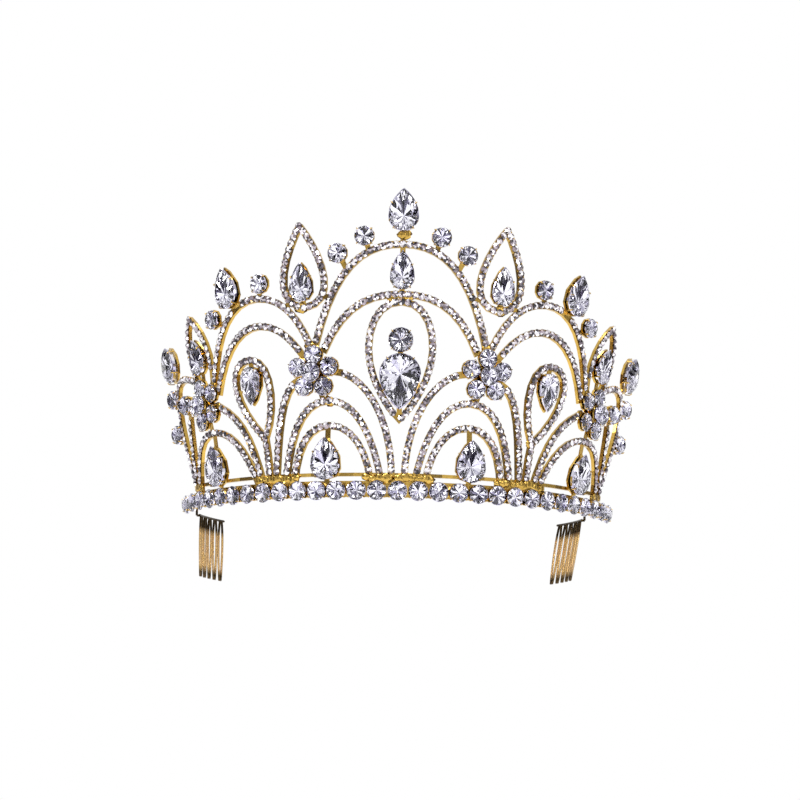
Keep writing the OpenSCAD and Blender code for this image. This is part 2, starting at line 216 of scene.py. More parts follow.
# The flowers: node's name, place and turn of the petals
FLOWERS = [
    ("flower_inner", at(28, 41.2), 0),
    ("flower_outer", at(75.3, 34.1), 90),
]
# Joints that show a drop of solder, beside the feet of the strands
SOLDERED = [
    at(32.5, 39.6), at(68.7, 33), at(47.2, 20.9), at(79.1, 41.3), at(70.7, 39.8), at(31.2, 62), at(23.5, 32),
    at(0, 84.8), at(22.6, 41.6), at(28.3, 49.5), at(3, 64.8),
]

# The cut of a stone. A share is of the stone's outline, a depth of the cone below its girdle and a height
# of the crown above it.
BACK_SHARE = 0.94
BACK_DEPTH = 0.3
UNDER_SHARE = 0.56
UNDER_DEPTH = 0.15
HIGH_SHARE = 0.96
KITE_SHARE = 0.79
KITE_HEIGHT = 0.55
# Height of the girdle on the stones of the rim and the flowers
THIN_EDGE = 0.05
# Number of main facets: a stone wider than WIDE_STONE has more
MAINS = 10
WIDE_MAINS = 14
WIDE_STONE = 7

# Tones of the foiled facets, from dark to pale, a painted reflection of the room in each facet, and the most
# that one is above or below its tone
ROUND_TONES = [0.1, 0.4, 0.7, 0.9, 1.0, 1.0]
PEAR_TONES = [0.6, 0.85, 1.0, 1.0, 1.0]
POINT_TONES = [0.0, 0.04, 0.1]
TONE_SPREAD = 0.05
EDGE_TONE = 0.5
EDGE_SPREAD = 0.15
SIDE_TONE = 0.7
SIDE_SPREAD = 0.25
# Angle on each side of a pear's point where its facets get dark tones, a painted reflection of the dark room
POINT_ARC = 40
# Stones with more painted dark reflection than the rest, and the power that their tones are raised to
DARKER = {"centre_round": 3.2, "inner_round": 1.6, "outer_round": 1.6}
# Tone of the facets with the middle colour, and how far a facet is tilted to mirror a place of its own
MIDDLE_TONE = 0.42
FOIL_TILT = 0.75
FINE_TILT = 0.9
# Places of a cut stone's two finishes in its mesh
GLASS = 0
FOIL = 1

# Corners of a claw from the plate up: share of the stone's outline, distance out from it, share of the
# girdle's height, and height above that
CLAW_BENDS = [(1.0, 0.28, 0.0, 0.0), (1.0, 0.3, 0.8, 0.0), (0.985, 0.12, 1.0, 0.25), (0.93, -0.05, 1.0, 0.5)]
# Angles of the claws round a stone, from its top
ROUND_CLAWS = [45, 135, 225, 315]
PEAR_CLAWS = [62, 140, 220, 298]
RIM_CLAWS = [50, 130, 230, 310]
PETAL_CLAWS = [0, 90, 270]
# Radius of a claw, as a share of the thickness of the claws over the large stones
LARGE_CLAW = 0.5
SMALL_CLAW = 0.35
CLAW_SIDES = 6
COMB_SIDES = 8

# The fine stones: facets round each, table and cup as shares of its radius, and heights of cup and stone
FINE_SIDES = 8
FINE_TABLE = 0.36
FINE_CUP = 1.07
CUP_HEIGHT = 0.3
FINE_HEIGHT = 0.5
# Distance over the rim stones, in stone diameters, and distance kept between rows, in pitches
FINE_CLEAR = 0.6
ROW_CLEAR = 0.84
FEWEST_FINE = 300

# The drops of solder: width as a share of the setting, height, unevenness of the rim, how much flatter than
# wide, and depth of the point below
DROP_WIDTH = (0.8, 1.35)
DROP_HEIGHT = (0.25, 0.5)
DROP_RIM = (0.7, 1.25)
DROP_FLATNESS = 0.8
DROP_SINK = 0.4
# Places of the two drops at a foot, in hundredths of HALF_ARC and over the rim stones, and how far any drop
# is off its place, in degrees and in height
FOOT_SLIPS = (-1.1, 1.1)
FOOT_LIFT = 0.8
DROP_TURN = (-0.6, 0.6)
DROP_LIFT = (-0.3, 0.5)

# The dark cards: azimuth and width in degrees, and lower and upper edge in metres
DARK_CARDS = [
    (-118, 20, -0.12, 0.6), (-84, 14, -0.14, 0.5), (-60, 12, -0.14, 0.6), (-34, 14, -0.14, 0.4),
    (-9, 9, -0.14, 0.1), (4, 5, 0.1, 0.6), (18, 9, -0.14, 0.3), (40, 14, -0.1, 0.6),
    (66, 12, -0.14, 0.5), (90, 14, -0.14, 0.6), (122, 20, -0.12, 0.6),
]
CARD_DISTANCE = 0.8
FLOOR_REACH = 6
# The soft lights: name, place, width and height in metres, and power in watts
LIGHTS = [
    ("key", (-0.5, -0.9, 0.75), (0.35, 0.35), 9.0),
    ("fill", (0.7, -0.8, 0.35), (0.3, 0.5), 5.0),
    ("top", (0.0, 0.1, 0.9), (0.6, 0.4), 6.0),
]
LIT_PLACE = (0, -0.05, 0.05)
# The camera: distance and aim in metres, angles in degrees, and sensor and lens in millimetres
CAMERA_DISTANCE = 1.2
CAMERA_AIM = (0, 0, 0.05)
CAMERA_ELEVATION = -8.72
CAMERA_ROLL = 1.3
CAMERA_SENSOR = 36.0
CAMERA_LENS = 160.65
CAMERA_SHIFT = -0.0274


def linear(hex_colour):
    """Turns an sRGB hex colour to linear values."""
    parts = [int(hex_colour[i:i + 2], 16) / 255 for i in (1, 3, 5)]
    return tuple(c / 12.92 if c <= 0.04045 else ((c + 0.055) / 1.055) ** 2.4 for c in parts)


class CrownStoneSettings(bpy.types.PropertyGroup):
    """Sizes and colours of the stones"""
    fine_d: bpy.props.FloatProperty(
        name="Fine stone", description="Diameter of the stones along the strands, in mm",
        default=2.26, min=1.5, max=2.4)
    fine_pitch: bpy.props.FloatProperty(
        name="Fine pitch", description="Distance from one fine stone to the next, in mm",
        default=2.1, min=1.8, max=3.0)
    # The pale, middle and dark facet colours are painted reflections of the bright and dark parts of the room
    pale: bpy.props.FloatVectorProperty(
        name="Pale facets", description="Colour of the brightest facets",
        subtype="COLOR", default=linear("#FCFBFF"))
    middle: bpy.props.FloatVectorProperty(
        name="Middle facets", description="Colour of the facets between",
        subtype="COLOR", default=linear("#A29EB8"))
    fine_middle: bpy.props.FloatVectorProperty(
        name="Fine facets", description="Middle colour of the fine stones",
        subtype="COLOR", default=linear("#93858F"))
    dark: bpy.props.FloatVectorProperty(
        name="Dark facets", description="Colour of the darkest facets",
        subtype="COLOR", default=linear("#1E1A24"))


class CrownMetalSettings(bpy.types.PropertyGroup):
    """Sizes and colours of the metal"""
    claw_d: bpy.props.FloatProperty(
        name="Claw", description="Thickness of the claws over the large stones, in mm",
        default=0.34, min=0.3, max=0.6)
    solder_d: bpy.props.FloatProperty(
        name="Solder", description="Width of a drop of solder, in mm",
        default=3.3, min=1.5, max=4.0)
    gold: bpy.props.FloatVectorProperty(
        name="Gold", description="Colour of the plated frame",
        subtype="COLOR", default=linear("#DCB860"))
    # Also the colour of the cups under the fine stones, where it is painted shade between the stones
    worn_gold_and_cup_shade: bpy.props.FloatVectorProperty(
        name="Worn gold", description="Colour of the frame where it is dull",
        subtype="COLOR", default=linear("#8C6D2E"))
    comb_gold: bpy.props.FloatVectorProperty(
        name="Comb gold", description="Colour of the comb's wire",
        subtype="COLOR", default=linear("#E6C3A2"))


class CrownStageSettings(bpy.types.PropertyGroup):
    """Light and floor of the studio"""
    floor_drop: bpy.props.FloatProperty(
        name="Floor drop", description="Distance from the rim down to the floor", unit="LENGTH", default=0.16)
    daylight: bpy.props.FloatProperty(
        name="Daylight", description="Strength of the white surroundings", default=1.0, min=0.2, max=3.0)


def add_node(tree, kind, settings=None, inputs=None):
    """Adds one node; an input is a socket to link from, or a value."""
    node = tree.nodes.new(kind)
    for name, value in (settings or {}).items():
        setattr(node, name, value)
    for name, value in (inputs or {}).items():
        socket = next(s for s in node.inputs if s.enabled and s.name == name)
        if isinstance(value, bpy.types.NodeSocket):
            tree.links.new(value, socket)
        else:
            socket.default_value = value
    return node


def new_material(name):
    material = bpy.data.materials.new(name)
    material.use_nodes = True
    tree = material.node_tree
    return material, tree, tree.nodes["Principled BSDF"]


def set_shader(shader, **values):
    for name, value in values.items():
        shader.inputs[name.replace("_", " ")].default_value = value


def colour(values):
    return (values[0], values[1], values[2], 1.0)


def facet_ramp(tree, stones, middle, shader, tilt):
    """Gives each facet a colour by the tone in its mesh, a painted reflection from dark to pale, and tilts it
    to mirror a place of its own.
    """
    tone = add_node(tree, "ShaderNodeAttribute", {"attribute_name": "tone"})
    draw = add_node(tree, "ShaderNodeTexWhiteNoise", {"noise_dimensions": "1D"}, {"W": tone.outputs["Fac"]})
    centred = add_node(tree, "ShaderNodeVectorMath", {"operation": "SUBTRACT"})
    tree.links.new(draw.outputs["Color"], centred.inputs[0])
    centred.inputs[1].default_value = (0.5, 0.5, 0.5)
    scaled = add_node(
        tree, "ShaderNodeVectorMath", {"operation": "SCALE"},
        {"Vector": centred.outputs["Vector"], "Scale": tilt})
    surface = add_node(tree, "ShaderNodeNewGeometry")
    tilted = add_node(tree, "ShaderNodeVectorMath", {"operation": "ADD"})
    tree.links.new(surface.outputs["Normal"], tilted.inputs[0])
    tree.links.new(scaled.outputs["Vector"], tilted.inputs[1])
    facing = add_node(
        tree, "ShaderNodeVectorMath", {"operation": "NORMALIZE"}, {"Vector": tilted.outputs["Vector"]})
    tree.links.new(facing.outputs["Vector"], shader.inputs["Normal"])
    ramp = add_node(tree, "ShaderNodeValToRGB", None, {"Fac": tone.outputs["Fac"]})
    ramp.color_ramp.elements[0].color = colour(stones.dark)
    ramp.color_ramp.elements[1].color = colour(stones.pale)
    between = ramp.color_ramp.elements.new(MIDDLE_TONE)
    between.color = colour(middle)
    return ramp


def uneven_roughness(tree, shader, scale, detail, smoothest, roughest):
    """Varies a finish's roughness in soft patches, and returns the nodes for its place and the patches."""
    place = add_node(tree, "ShaderNodeTexCoord")
    patches = add_node(
        tree, "ShaderNodeTexNoise", None,
        {"Vector": place.outputs["Object"], "Scale": scale, "Detail": detail})
    rough = add_node(
        tree, "ShaderNodeMapRange", None,
        {"Value": patches.outputs["Fac"], "To Min": smoothest, "To Max": roughest})
    tree.links.new(rough.outputs["Result"], shader.inputs["Roughness"])
    return place, patches


def plated_gold(name, bright, dull, roughness):
    """Gold plating on cast alloy: a deep yellow mirror with duller patches and fine polish marks."""
    material, tree, shader = new_material(name)
    # Patches about 4 mm wide
    place, patches = uneven_roughness(tree, shader, 250.0, 3.0, roughness * 0.6, roughness * 1.6)
    mix = add_node(
        tree, "ShaderNodeMix", {"data_type": "RGBA"},
        {"Factor": patches.outputs["Fac"], "A": colour(bright), "B": colour(dull)})
    result = next(s for s in mix.outputs if s.enabled)
    tree.links.new(result, shader.inputs["Base Color"])
    # Polish marks are far finer than this; they are drawn at 0.5 mm so that they show
    marks = add_node(
        tree, "ShaderNodeTexNoise", None,
        {"Vector": place.outputs["Object"], "Scale": 2000.0, "Detail": 2.0})
    bump = add_node(
        tree, "ShaderNodeBump", None,
        {"Height": marks.outputs["Fac"], "Strength": 0.12, "Distance": 0.0001})
    tree.links.new(bump.outputs["Normal"], shader.inputs["Normal"])
    set_shader(shader, Metallic=1.0)
    return material


def paint_comb_shade(material):
    """Paints shade and reflection on the comb's wire: darkens it over about 4 mm below its bar and at its
    tips, fading into the gold.
    """
    tree = material.node_tree
    shader = tree.nodes["Principled BSDF"]
    given = shader.inputs["Base Color"].links[0].from_socket
    place = add_node(tree, "ShaderNodeTexCoord")
    split = add_node(tree, "ShaderNodeSeparateXYZ", None, {"Vector": place.outputs["Object"]})
    # From the tips of the teeth up to the top of the wire
    height = add_node(
        tree, "ShaderNodeMapRange", None,
        {"Value": split.outputs["Z"], "From Min": COMB_TIPS * MM, "From Max": COMB_TOP * MM})
    ramp = add_node(tree, "ShaderNodeValToRGB", None, {"Fac": height.outputs["Result"]})
    stops = ramp.color_ramp.elements
    stops[0].color = colour(linear(COMB_PAINTED_SHADE[0][1]))
    stops[1].color = colour(linear(COMB_PAINTED_SHADE[-1][1]))
    for position, shade in COMB_PAINTED_SHADE[1:-1]:
        stops.new(position).color = colour(linear(shade))
    mix = add_node(tree, "ShaderNodeMix", {"data_type": "RGBA", "blend_type": "MULTIPLY"}, {"Factor": 1.0})
    sockets = [s for s in mix.inputs if s.enabled and s.name in ("A", "B")]
    tree.links.new(given, sockets[0])
    tree.links.new(ramp.outputs["Color"], sockets[1])
    result = next(s for s in mix.outputs if s.enabled)
    tree.links.new(result, shader.inputs["Base Color"])


def foil_backing(stones):
    """Silver foil under a cut stone: each back facet is tilted to mirror another part of the room, and its
    colour, dark to pale by its tone, is a painted reflection.
    """
    material, tree, shader = new_material("foil_backing")
    ramp = facet_ramp(tree, stones, stones.middle, shader, FOIL_TILT)
    tree.links.new(ramp.outputs["Color"], shader.inputs["Base Color"])
    set_shader(shader, Metallic=1.0, Roughness=0.06)
    return material


def lead_crystal():
    """Cut lead crystal, polished: clear, with strong small highlights and sharp facet edges."""
    material, tree, shader = new_material("lead_crystal")
    # A faint haze about 2.5 mm wide
    uneven_roughness(tree, shader, 400.0, 2.0, 0.0, 0.03)
    set_shader(shader, IOR=1.56, Transmission_Weight=1.0, Base_Color=colour(linear("#F6F6FC")))
    return material


def fine_crystal(stones):
    """Machine-cut crystal with a foiled back: too small to see into, so each facet's colour is a painted
    reflection, a tone from dark to pale, under a gloss.
    """
    material, tree, shader = new_material("fine_crystal")
    ramp = facet_ramp(tree, stones, stones.fine_middle, shader, FINE_TILT)
    tree.links.new(ramp.outputs["Color"], shader.inputs["Base Color"])
    set_shader(shader, Metallic=0.55, Roughness=0.12, Coat_Weight=1.0, Coat_Roughness=0.03)
    return material


MATERIALS = {}


def materials():
    """Makes the finishes once and returns them by name."""
    if not MATERIALS:
        stones = bpy.context.scene.crown_stones
        metal = bpy.context.scene.crown_metal
        MATERIALS["gold"] = plated_gold("plated_gold", metal.gold, metal.worn_gold_and_cup_shade, 0.16)
        # The cups are darkened, worn gold with near black brown patches, as painted shade between the fine
        # stones
        MATERIALS["cup"] = plated_gold("plated_cups_painted_shade", metal.worn_gold_and_cup_shade, linear("#2A1E16"), 0.3)
        MATERIALS["comb"] = plated_gold("plated_comb_wire", metal.comb_gold, metal.gold, 0.22)
        # The comb's wire gets painted shade and reflection below its bar and at its tips
        paint_comb_shade(MATERIALS["comb"])
        MATERIALS["foil"] = foil_backing(stones)
        MATERIALS["glass"] = lead_crystal()
        MATERIALS["fine"] = fine_crystal(stones)
    return MATERIALS


class Shape:
    """Collects vertices and faces, each face with a material's place and a tone."""

    def __init__(self):
        self.vertices = []
        self.faces = []
        self.fills = []
        self.tones = []

    def add(self, matrix, vertices, faces, fills, tones):
        first = len(self.vertices)
        self.vertices.extend(matrix @ Vector(v) * MM for v in vertices)
        self.faces.extend([first + i for i in face] for face in faces)
        self.fills.extend(fills)
        self.tones.extend(tones)

    def finish(self, name, fills, slot, smooth=False):
        """Makes the piece, turns its faces outwards and puts it on the body."""
        mesh = bpy.data.meshes.new(name)
        mesh.from_pydata(self.vertices, [], self.faces)
        mesh.update()
        for material in fills:
            mesh.materials.append(material)
        mesh.polygons.foreach_set("material_index", self.fills)
        tone = mesh.attributes.new("tone", "FLOAT", "FACE")
        tone.data.foreach_set("value", self.tones)
        turned = bmesh.new()
        turned.from_mesh(mesh)
        bmesh.ops.recalc_face_normals(turned, faces=turned.faces)
        turned.to_mesh(mesh)
        turned.free()
        if smooth:
            mesh.shade_smooth()
        else:
            mesh.shade_flat()
        piece = bpy.data.objects.new(name, mesh)
        bpy.context.scene.collection.objects.link(piece)
        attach(piece, BODY)
        return piece


def seated(place, side, lean=0.0, turn=0.0):
    """Brings what is drawn flat, with +Z outwards and +Y up, to a place on the band."""
    return (
        Matrix.Translation(on_band(side * place[0], place[1], 0))
        @ Matrix.Rotation(math.radians(side * (place[0] + turn)), 4, "Z")
        @ Matrix.Rotation(math.radians(90 + FLARE), 4, "X")
        @ Matrix.Rotation(math.radians(-side * lean), 4, "Z"))


def outline_point(size, angle, share=1.0):
    """A point on a stone's outline, drawn in to a share of it, at an angle from its top."""
    r = size[0] / 2 * share
    reach = size[1] * share - r
    s, c = sind(angle), cosd(angle)
    if c <= 0:
        return (r * s, r * c)
    sharpness = POINT_SHARPNESS if size[1] > size[0] else 0
    return (r * s * abs(s) ** sharpness, reach * c)


def cut_stone(shape, matrix, size, draw, girdle_edge=GIRDLE_EDGE, mains=MAINS, gloom=1.0):
    """Adds a brilliant cut stone.

    In glass it has the table and, for each main, a star, a kite in two parts and two halves down to the
    girdle. In foil each main has two parts of the edge, two of the side wall and four back facets.
    """
    depth = PAVILION_SHARE * size[0]
    crown = CROWN_SHARE * size[0]
    girdle = SEAT_GAP + depth
    edge_top = girdle + girdle_edge
    step = 360 / mains
    is_round = size[0] == size[1]
    # Rings of corners: number, angle of the first, share of the outline, and height
    rings = [
        (2 * mains, 0, BACK_SHARE, SEAT_GAP + depth * BACK_DEPTH),
        (2 * mains, 0, 1.0, girdle),
        (2 * mains, 0, HIGH_SHARE, edge_top),
        (mains, step / 2, KITE_SHARE, edge_top + crown * KITE_HEIGHT),
        (mains, 0, TABLE_SHARE, edge_top + crown),
        (mains, step / 2, UNDER_SHARE, SEAT_GAP + depth * UNDER_DEPTH),
    ]
    vertices, starts = [], []
    for count, offset, share, height in rings:
        starts.append(len(vertices))
        vertices += [(*outline_point(size, offset + 360 * i / count, share), height) for i in range(count)]
    back, low, high, kites, table, under = starts
    culet = len(vertices)
    vertices.append((0.0, 0.0, SEAT_GAP))
    faces, fills, tones = [], [], []

    def face(points, fill, tone=1.0):
        faces.append(points)
        fills.append(fill)
        tones.append(tone)

    def foil_tone(steps=None):
        """Picks a tone of painted reflection, by how many mains away from the top a facet is where that
        matters.

        A pear gets dark tones, a painted reflection of the dark room, in a narrow kite from its middle to its
        point.
        """
        near_point = steps is not None and min(steps * step % 360, -steps * step % 360) < POINT_ARC
        choices = ROUND_TONES if is_round else POINT_TONES if near_point else PEAR_TONES
        tone = draw.choice(choices) ** gloom + draw.uniform(-TONE_SPREAD, TONE_SPREAD)
        return min(1.0, max(0.0, tone))

    for j in range(mains):
        before, after = (j - 1) % mains, (j + 1) % mains
        a, b, c = 2 * j, 2 * j + 1, (2 * j + 2) % (2 * mains)
        face([table + j, kites + before, high + a], GLASS)
        face([table + j, high + a, kites + j], GLASS)
        face([table + j, kites + j, table + after], GLASS)
        face([kites + j, high + a, high + b], GLASS)
        face([kites + j, high + b, high + c], GLASS)
        for v, w in ((a, b), (b, c)):
            edge_tone = EDGE_TONE + draw.uniform(-EDGE_SPREAD, EDGE_SPREAD)
            side_tone = SIDE_TONE + draw.uniform(-SIDE_SPREAD, SIDE_SPREAD)
            face([high + v, low + v, low + w, high + w], FOIL, edge_tone)
            face([low + v, back + v, back + w, low + w], FOIL, side_tone)
        face([culet, under + j, back + a], FOIL, foil_tone(j + 0.25))
        face([culet, back + a, under + before], FOIL, foil_tone(j - 0.25))
        face([under + j, back + b, back + a], FOIL, foil_tone())
        face([under + j, back + c, back + b], FOIL, foil_tone())
    face([table + j for j in range(mains)], GLASS)
    shape.add(matrix, vertices, faces, fills, tones)


def cut_piece(stones, name):
    """Finishes cut stones in glass above their girdles and foil below."""
    finishes = materials()
    return stones.finish(name, [finishes["glass"], finishes["foil"]], "crystal")


def claw_paths(matrix, size, angles):
    """Paths of the claws: up from the plate, over the girdle and onto the crown."""
    top = SEAT_GAP + PAVILION_SHARE * size[0] + GIRDLE_EDGE
    paths = []
    for angle in angles:
        path = []
        for share, out, rise, above in CLAW_BENDS:
            x, y = outline_point(size, angle, share)
            away = Vector((x, y)).normalized() * out
            path.append(matrix @ Vector((x + away.x, y + away.y, top * rise + above)))
        paths.append(path)
    return paths


def new_tree(name, inputs):
    """Starts a tree of geometry nodes that takes geometry and the named inputs, and gives geometry."""
    tree = bpy.data.node_groups.new(name, "GeometryNodeTree")
    tree.interface.new_socket("Geometry", in_out="INPUT", socket_type="NodeSocketGeometry")
    for label, kind in inputs:
        tree.interface.new_socket(label, in_out="INPUT", socket_type="NodeSocket" + kind)
    tree.interface.new_socket("Geometry", in_out="OUTPUT", socket_type="NodeSocketGeometry")
    return tree


def wire_tree(name):
    """Geometry nodes that run a round wire along every edge path of a mesh."""
    tree = new_tree(name, [("Wire radius", "Float"), ("Wire sides", "Int"), ("Metal", "Material")])
    given = add_node(tree, "NodeGroupInput")
    curve = add_node(tree, "GeometryNodeMeshToCurve", None, {"Mesh": given.outputs["Geometry"]})
    section = add_node(
        tree, "GeometryNodeCurvePrimitiveCircle", None,
        {"Resolution": given.outputs["Wire sides"], "Radius": given.outputs["Wire radius"]})
    wire = add_node(
        tree, "GeometryNodeCurveToMesh", None,
        {"Curve": curve.outputs["Curve"], "Profile Curve": section.outputs["Curve"], "Fill Caps": True})
    real = add_node(tree, "GeometryNodeRealizeInstances", None, {"Geometry": wire.outputs["Mesh"]})
    metal = add_node(
        tree, "GeometryNodeSetMaterial", None,
        {"Geometry": real.outputs["Geometry"], "Material": given.outputs["Metal"]})
    result = add_node(tree, "NodeGroupOutput")
    tree.links.new(metal.outputs["Geometry"], result.inputs["Geometry"])
    return tree


def fine_stone_tree(name):
    """Geometry nodes that set a foiled stone in a gold cup on each point, facing away from the band."""
    tree = new_tree(name, [
        ("Stone radius", "Float"), ("Cup height", "Float"), ("Stone height", "Float"),
        ("Crystal", "Material"), ("Metal", "Material")])
    given = add_node(tree, "NodeGroupInput")
    radius = given.outputs["Stone radius"]
    radii = []
    for share in (FINE_TABLE, FINE_CUP):
        scaled = add_node(tree, "ShaderNodeMath", {"operation": "MULTIPLY"})
        tree.links.new(radius, scaled.inputs[0])
        scaled.inputs[1].default_value = share
        radii.append(scaled.outputs[0])
    table, wide = radii
    solids = []
    for upper, lower, depth, fill in (
            (wide, wide, "Cup height", "Metal"), (table, radius, "Stone height", "Crystal")):
        solid = add_node(
            tree, "GeometryNodeMeshCone", None,
            {"Vertices": FINE_SIDES, "Radius Top": upper, "Radius Bottom": lower,
             "Depth": given.outputs[depth]})
        filled = add_node(
            tree, "GeometryNodeSetMaterial", None,
            {"Geometry": solid.outputs["Mesh"], "Material": given.outputs[fill]})
        solids.append(filled.outputs["Geometry"])
    cup, stone = solids
    lift = add_node(tree, "ShaderNodeCombineXYZ", None, {"Z": given.outputs["Cup height"]})
    raised = add_node(
        tree, "GeometryNodeTransform", None, {"Geometry": stone, "Translation": lift.outputs["Vector"]})
    both = add_node(tree, "GeometryNodeJoinGeometry")
    tree.links.new(cup, both.inputs[0])
    tree.links.new(raised.outputs["Geometry"], both.inputs[0])
    facing = add_node(
        tree, "GeometryNodeInputNamedAttribute", {"data_type": "FLOAT_VECTOR"}, {"Name": "facing"})
    outwards = next(s for s in facing.outputs if s.enabled)
    turned = add_node(tree, "FunctionNodeAlignRotationToVector", {"axis": "Z"}, {"Vector": outwards})
    set_out = add_node(
        tree, "GeometryNodeInstanceOnPoints", None,
        {"Points": given.outputs["Geometry"], "Instance": both.outputs["Geometry"],
         "Rotation": turned.outputs["Rotation"]})
    real = add_node(tree, "GeometryNodeRealizeInstances", None, {"Geometry": set_out.outputs["Instances"]})
    # A random tone for each facet, a painted reflection from dark to pale; the range runs past both ends so
    # that more facets are fully dark or fully pale
    draw = add_node(
        tree, "FunctionNodeRandomValue", {"data_type": "FLOAT"}, {"Min": -0.25, "Max": 1.15, "Seed": 7})
    drawn = next(s for s in draw.outputs if s.enabled)
    toned = add_node(
        tree, "GeometryNodeStoreNamedAttribute", {"data_type": "FLOAT", "domain": "FACE"},
        {"Geometry": real.outputs["Geometry"], "Name": "tone", "Value": drawn})
    flat = add_node(
        tree, "GeometryNodeSetShadeSmooth", None,
        {"Geometry": toned.outputs["Geometry"], "Shade Smooth": False})
    result = add_node(tree, "NodeGroupOutput")
    tree.links.new(flat.outputs["Geometry"], result.inputs["Geometry"])
    return tree


def run_tree(name, vertices, edges, tree, values, facings=None):
    """Runs a tree on a bare mesh and keeps the result as a plain mesh that rides on the body."""
    seed_mesh = bpy.data.meshes.new(name + "_seed")
    seed_mesh.from_pydata([v * MM for v in vertices], edges, [])
    if facings:
        facing = seed_mesh.attributes.new("facing", "FLOAT_VECTOR", "POINT")
        facing.data.foreach_set("vector", [c for f in facings for c in f])
    seed = bpy.data.objects.new(name + "_seed", seed_mesh)
    bpy.context.scene.collection.objects.link(seed)
    modifier = seed.modifiers.new("nodes", "NODES")
    modifier.node_group = tree
    for item in tree.interface.items_tree:
        if item.item_type == "SOCKET" and item.in_out == "INPUT" and item.name in values:
            modifier[item.identifier] = values[item.name]
    bpy.context.view_layer.update()
    evaluated = seed.evaluated_get(bpy.context.evaluated_depsgraph_get())
    mesh = bpy.data.meshes.new_from_object(evaluated)
    mesh.name = name
    piece = bpy.data.objects.new(name, mesh)
    bpy.context.scene.collection.objects.link(piece)
    bpy.data.objects.remove(seed)
    if not len(mesh.polygons):
        raise RuntimeError(name + " came out empty")
    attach(piece, BODY)
    return piece


def joined(paths):
    """Puts separate paths in one list of vertices and edges."""
    vertices, edges = [], []
    for path in paths:
        first = len(vertices)
        vertices.extend(path)
        edges.extend((first + i, first + i + 1) for i in range(len(path) - 1))
    return vertices, edges


def run_claws(name, tree_name, paths, share):
    """Makes claws along their paths, each of a radius that is a share of the claws' thickness."""
    vertices, edges = joined(paths)
    radius = bpy.context.scene.crown_metal.claw_d * share * MM
    values = {"Wire radius": radius, "Wire sides": CLAW_SIDES, "Metal": materials()["gold"]}
    run_tree(name, vertices, edges, wire_tree(tree_name), values)


def bezier(p, t):
    s = 1 - t
    weights = (s ** 3, 3 * s * s * t, 3 * s * t * t, t ** 3)
    return tuple(sum(w * corner[i] for w, corner in zip(weights, p)) for i in range(2))


def dense_route(row):
    """Points along a route, close enough to measure along."""
    steps = 40
    points = []
    for k in range(0, len(row) - 3, 3):
        corners = [at(*row[j]) for j in range(k, k + 4)]
        points.extend(bezier(corners, i / steps) for i in range(0 if k == 0 else 1, steps + 1))
    return points


def spaced(points, pitch):
    """Places at equal distances along a path, with one at each end."""
    reach = [0.0]
    for a, b in zip(points, points[1:]):
        reach.append(reach[-1] + apart(a, b))
    count = max(1, round(reach[-1] / pitch))
    places, k = [], 0
    for i in range(count + 1):
        want = reach[-1] * i / count
        while k < len(reach) - 2 and reach[k + 1] < want:
            k += 1
        t = (want - reach[k]) / (reach[k + 1] - reach[k])
        places.append(tuple(points[k][c] + t * (points[k + 1][c] - points[k][c]) for c in range(2)))
    return places


def mirrored(points):
    return [(-p[0], p[1]) for p in points]


def strand_paths():
    """Paths of all the strands of fine stones, on both sides."""
    paths = []
    for row in ARCH_ROUTES:
        half = dense_route(row)
        paths.append(list(reversed(mirrored(half))) + half[1:])
    loop = dense_route(LOOP_ROUTE)
    paths.append(loop + list(reversed(mirrored(loop)))[1:])
    for row in SIDE_ROUTES:
        path = dense_route(row)
        paths.append(path)
        paths.append(mirrored(path))
    return paths


def under_a_stone(place):
    """True where a main stone or a flower covers the strand."""
    margin = 1.1
    tip_margin = 0.55
    flower_overlap = 0.4
    flower_reach = PETAL_RING + PETAL_ROUND[0] / 2 - flower_overlap
    for _, copies, size, centre, lean, _ in STONES:
        half = size[0] / 2
        reach = size[1] - half
        for _, side in copies:
            across = math.radians(place[0] - side * centre[0]) * face_radius(centre[1])
            up = place[1] - centre[1]
            x = across * cosd(side * lean) - up * sind(side * lean)
            y = across * sind(side * lean) + up * cosd(side * lean)
            if y <= 0 and math.hypot(x, y) < half + margin:
                return True
            taper = 1 - (y / (reach + margin)) ** 2
            if 0 < y < reach + tip_margin and abs(x) < half * taper + margin:
                return True
    for _, centre, _ in FLOWERS:
        for _, side in SIDES:
            if apart((side * centre[0], centre[1]), place) < flower_reach:
                return True
    return False


class CROWN_OT_frame(bpy.types.Operator):
    """Gives the frame its gold plating"""
    bl_idname = "crown.frame"
    bl_label = "Frame Finish"

    def execute(self, context):
        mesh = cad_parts["frame"].data
        mesh.materials.clear()
        mesh.materials.append(materials()["gold"])
        return {"FINISHED"}


class CROWN_OT_fine_stones(bpy.types.Operator):
    """Sets a row of fine stones along every strand"""
    bl_idname = "crown.fine_stones"
    bl_label = "Fine Stones"

    def execute(self, context):
        stones = context.scene.crown_stones
        kept = []
        for path in strand_paths():
            for place in spaced(path, stones.fine_pitch):
                if place[1] < RIM_STONE_TOP + stones.fine_d * FINE_CLEAR or under_a_stone(place):
                    continue
                if all(apart(other, place) > stones.fine_pitch * ROW_CLEAR for other in kept):
                    kept.append(place)
        if len(kept) < FEWEST_FINE:
            raise RuntimeError("too few fine stones were placed")
        finishes = materials()
        values = {
            "Stone radius": stones.fine_d / 2 * MM, "Cup height": CUP_HEIGHT * MM,
            "Stone height": FINE_HEIGHT * MM, "Crystal": finishes["fine"], "Metal": finishes["cup"]}
        run_tree(
            "fine_stones", [on_band(p[0], p[1], -STRAND_SET) for p in kept], [],
            fine_stone_tree("fine_stone_rows"), values, [outward(p[0]) for p in kept])
        return {"FINISHED"}


